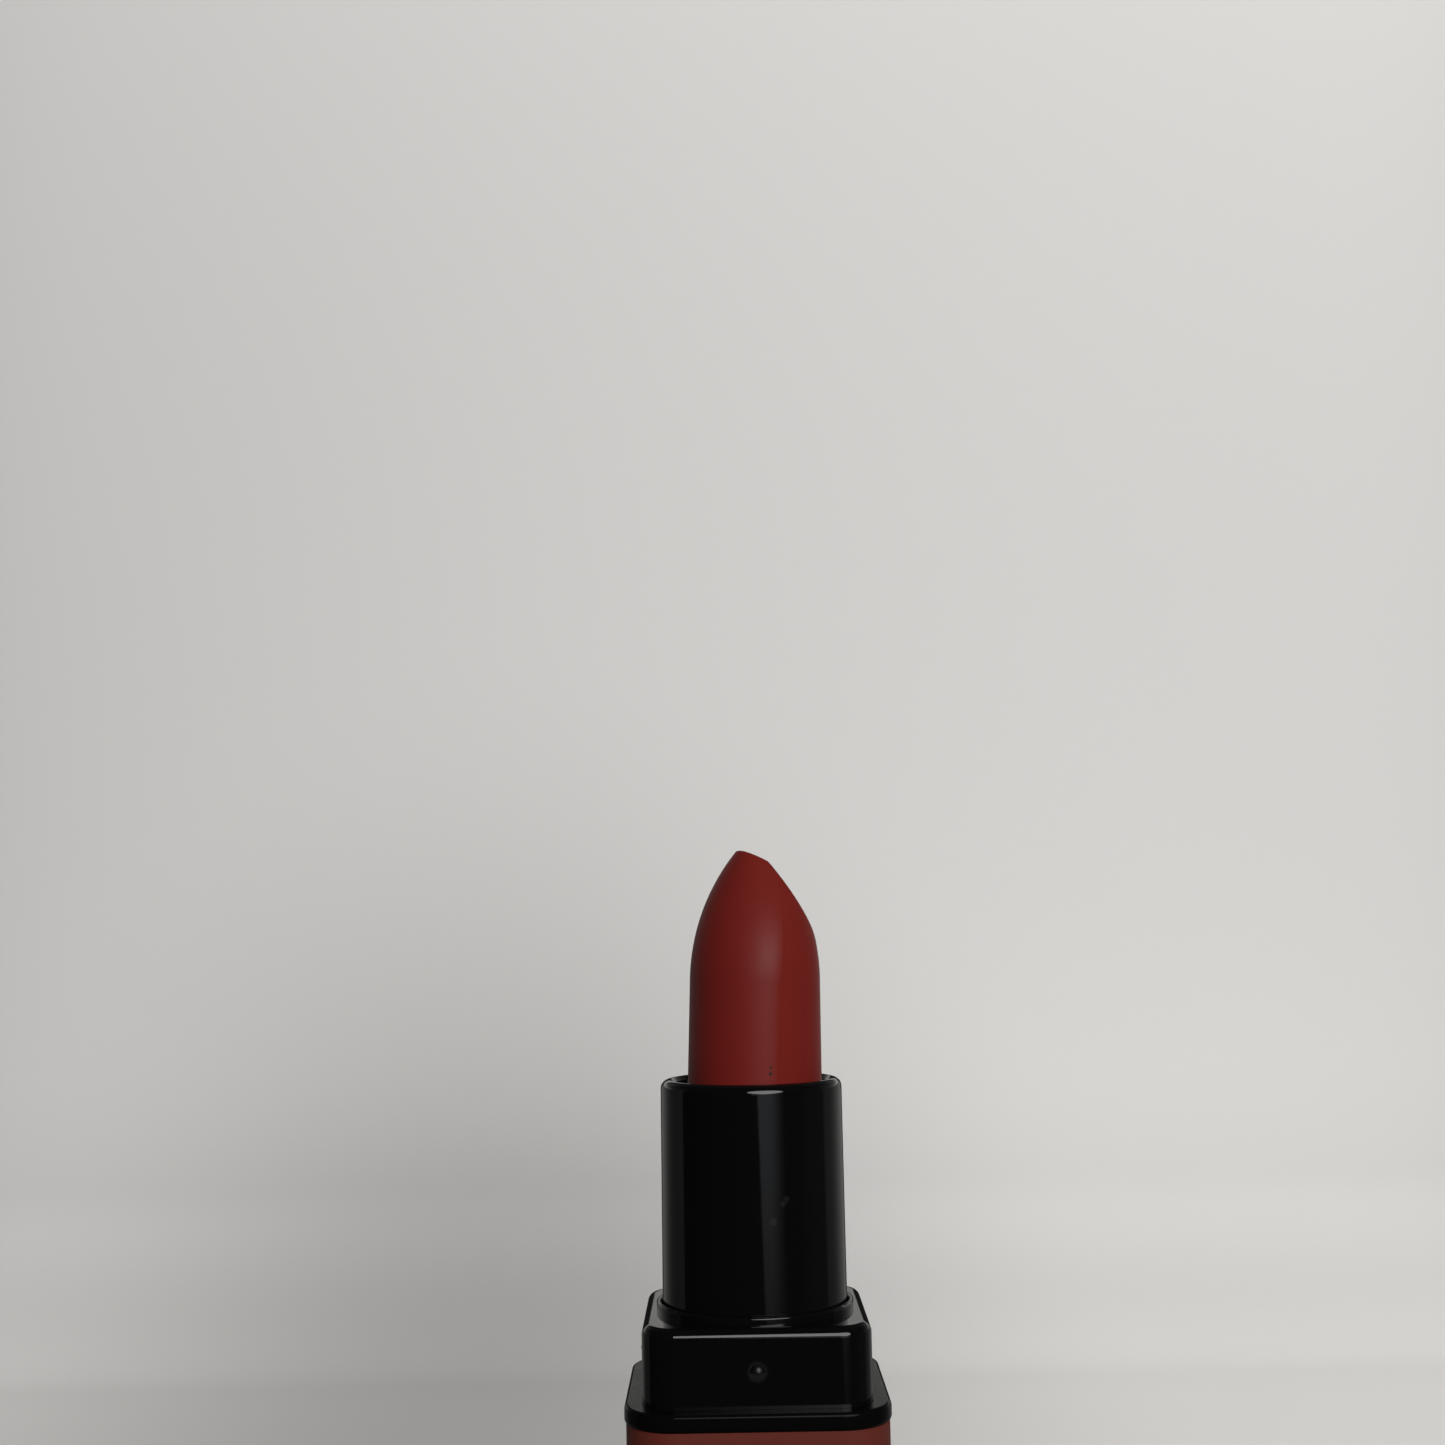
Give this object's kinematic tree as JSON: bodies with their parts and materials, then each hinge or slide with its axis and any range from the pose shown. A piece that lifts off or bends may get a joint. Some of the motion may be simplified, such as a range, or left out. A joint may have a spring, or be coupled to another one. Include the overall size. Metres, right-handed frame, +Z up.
{
  "type": "lipstick case",
  "caption": "Square twist-up lipstick, open: matte base, gloss black collar and sleeve, and a slanted brick-red bullet that rises or sinks as the sleeve turns.",
  "frame": {"origin": "centre of the face that the base stands on", "axes": "+Z up along the axis that the sleeve turns about; -Y is the front, the side of one flat of the base; +X is to the right of someone looking at the front"},
  "size_m": [0.0228, 0.0228, 0.0847],
  "materials": {
    "base_matte": "soft matt brick red",
    "weight_steel": "plain steel",
    "inner_plastic": "moulded, dull black",
    "black_gloss": "high gloss black",
    "ring_rubber": "dull",
    "bullet_wax": "satin wax, brick red"
  },
  "bodies": {
    "base": {"base_shell": "base_matte", "base_weight": "weight_steel", "base_liner": "black_gloss", "collar": "black_gloss", "guide_tube": "inner_plastic", "brake_ring": "ring_rubber"},
    "sleeve": {"sleeve": "black_gloss", "spiral_cam": "inner_plastic"},
    "carriage": {"bullet_cup": "inner_plastic", "bullet": "bullet_wax"}
  },
  "joints": [
    {"name": "sleeve_turn", "type": "hinge", "parent": "base", "child": "sleeve", "pos_m": [0, 0, 0.02755], "axis": [0, 0, 1], "range_deg": [-660.3, 0.3]},
    {"name": "bullet_rise", "type": "slide", "parent": "base", "child": "carriage", "axis": [0, 0, 1], "range_m": [-0.022, 0]}
  ],
  "couplings": [
    {"joint": "sleeve_turn", "follows": "bullet_rise", "rad_per_m": 523.6}
  ]
}
